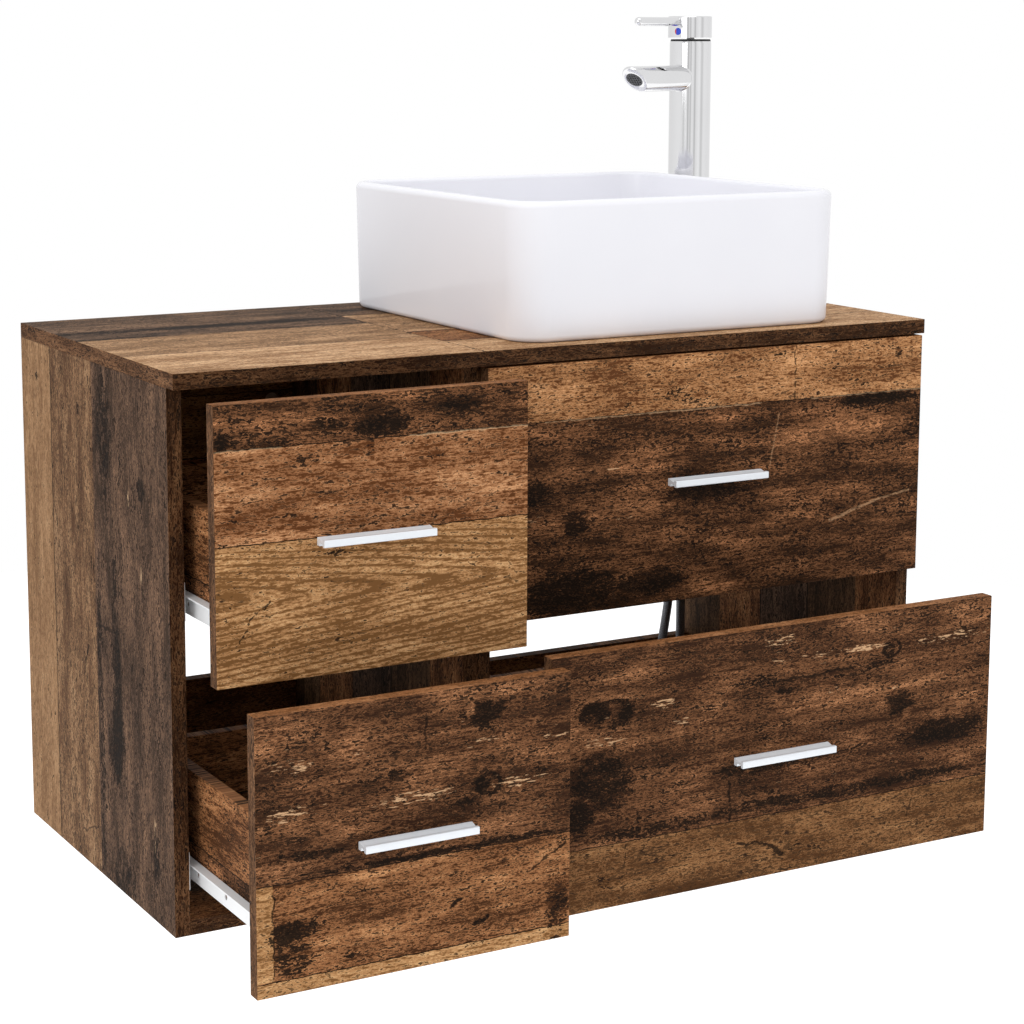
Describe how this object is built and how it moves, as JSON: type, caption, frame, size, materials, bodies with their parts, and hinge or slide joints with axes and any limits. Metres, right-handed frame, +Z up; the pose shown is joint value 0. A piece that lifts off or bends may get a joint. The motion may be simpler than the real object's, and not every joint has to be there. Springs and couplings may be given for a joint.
{
  "type": "vessel sink on vanity",
  "caption": "Wall-hung vanity of a narrow and a wide cabinet with front drawers, a square vessel basin on top and a tall single-lever mixer tap beside it.",
  "frame": {"origin": "middle of the four wall fixing holes, on the rear face that meets the wall", "axes": "+X to the right seen from the front, +Y towards the wall, +Z up"},
  "size_m": [0.8, 0.5695, 0.799],
  "materials": {
    "old_wood": "printed old-wood board, satin",
    "drawer_wood": "printed old-wood board, satin",
    "drawer_base": "thin printed hardboard",
    "handle_metal": "satin silver",
    "runner_white": "white epoxy powder coat",
    "beech": "plain turned beech",
    "zinc": "zinc plated",
    "ceramic": "white gloss glaze",
    "chrome": "polished",
    "black_plastic": "moulded",
    "rubber": "soft black",
    "dark_plastic": "moulded grey-black",
    "cartridge_plastic": "moulded off-white",
    "marker": "blue and red inlay",
    "braid": "woven steel braid"
  },
  "bodies": {
    "vanity": {"narrow_left_side": "old_wood", "narrow_right_side": "old_wood", "narrow_top": "old_wood", "narrow_bottom": "old_wood", "narrow_upper_rail": "old_wood", "narrow_lower_rail": "old_wood", "sink_left_side": "old_wood", "sink_right_side": "old_wood", "sink_top": "old_wood", "sink_bottom": "old_wood", "sink_upper_rail": "old_wood", "sink_lower_rail": "old_wood", "dowels": "beech", "cam_locks": "zinc", "cabinet_connectors": "zinc", "narrow_runners": "runner_white", "sink_runners": "runner_white", "basin": "ceramic", "drain_body": "chrome", "drain_locknut": "black_plastic", "tap_body": "chrome", "tap_gasket": "rubber", "tap_fixing": "zinc", "tap_aerator": "dark_plastic", "hose_ferrules": "zinc", "hot_hose": "braid", "cold_hose": "braid", "hot_hose_nut": "chrome", "cold_hose_nut": "chrome"},
    "upper_left_drawer": {"upper_left_front": "old_wood", "upper_left_sides": "drawer_wood", "upper_left_back": "drawer_wood", "upper_left_base": "drawer_base", "upper_left_handle": "handle_metal", "upper_left_runners": "runner_white"},
    "lower_left_drawer": {"lower_left_front": "old_wood", "lower_left_sides": "drawer_wood", "lower_left_back": "drawer_wood", "lower_left_base": "drawer_base", "lower_left_handle": "handle_metal", "lower_left_runners": "runner_white"},
    "upper_right_drawer": {"upper_right_front": "old_wood", "upper_right_sides": "drawer_wood", "upper_right_back": "drawer_wood", "upper_right_base": "drawer_base", "upper_right_notch": "drawer_wood", "upper_right_handle": "handle_metal", "upper_right_runners": "runner_white"},
    "lower_right_drawer": {"lower_right_front": "old_wood", "lower_right_sides": "drawer_wood", "lower_right_back": "drawer_wood", "lower_right_base": "drawer_base", "lower_right_handle": "handle_metal", "lower_right_runners": "runner_white"},
    "mixer_cartridge": {"tap_cartridge": "cartridge_plastic"},
    "mixer_lever": {"tap_stem": "zinc", "tap_cap": "chrome", "tap_lever": "chrome", "tap_dot": "marker"},
    "plug": {"drain_plug": "chrome"}
  },
  "joints": [
    {"name": "upper_left_slide", "type": "slide", "parent": "vanity", "child": "upper_left_drawer", "axis": [0, -1, 0], "range_m": [-0.08, 0.145]},
    {"name": "lower_left_slide", "type": "slide", "parent": "vanity", "child": "lower_left_drawer", "axis": [0, -1, 0], "range_m": [-0.155, 0.07]},
    {"name": "upper_right_slide", "type": "slide", "parent": "vanity", "child": "upper_right_drawer", "axis": [0, -1, 0], "range_m": [0, 0.225]},
    {"name": "lower_right_slide", "type": "slide", "parent": "vanity", "child": "lower_right_drawer", "axis": [0, -1, 0], "range_m": [-0.115, 0.11]},
    {"name": "mixer_swivel", "type": "hinge", "parent": "vanity", "child": "mixer_cartridge", "pos_m": [0.36, -0.038, 0.345], "axis": [0, 0, 1], "range_deg": [-40, 40]},
    {"name": "mixer_lift", "type": "hinge", "parent": "mixer_cartridge", "child": "mixer_lever", "pos_m": [0.36, -0.038, 0.345], "axis": [-0.3907, 0.9205, 0], "range_deg": [0, 25]},
    {"name": "plug_slide", "type": "slide", "parent": "vanity", "child": "plug", "axis": [0, 0, 1], "range_m": [0, 0.008]}
  ]
}
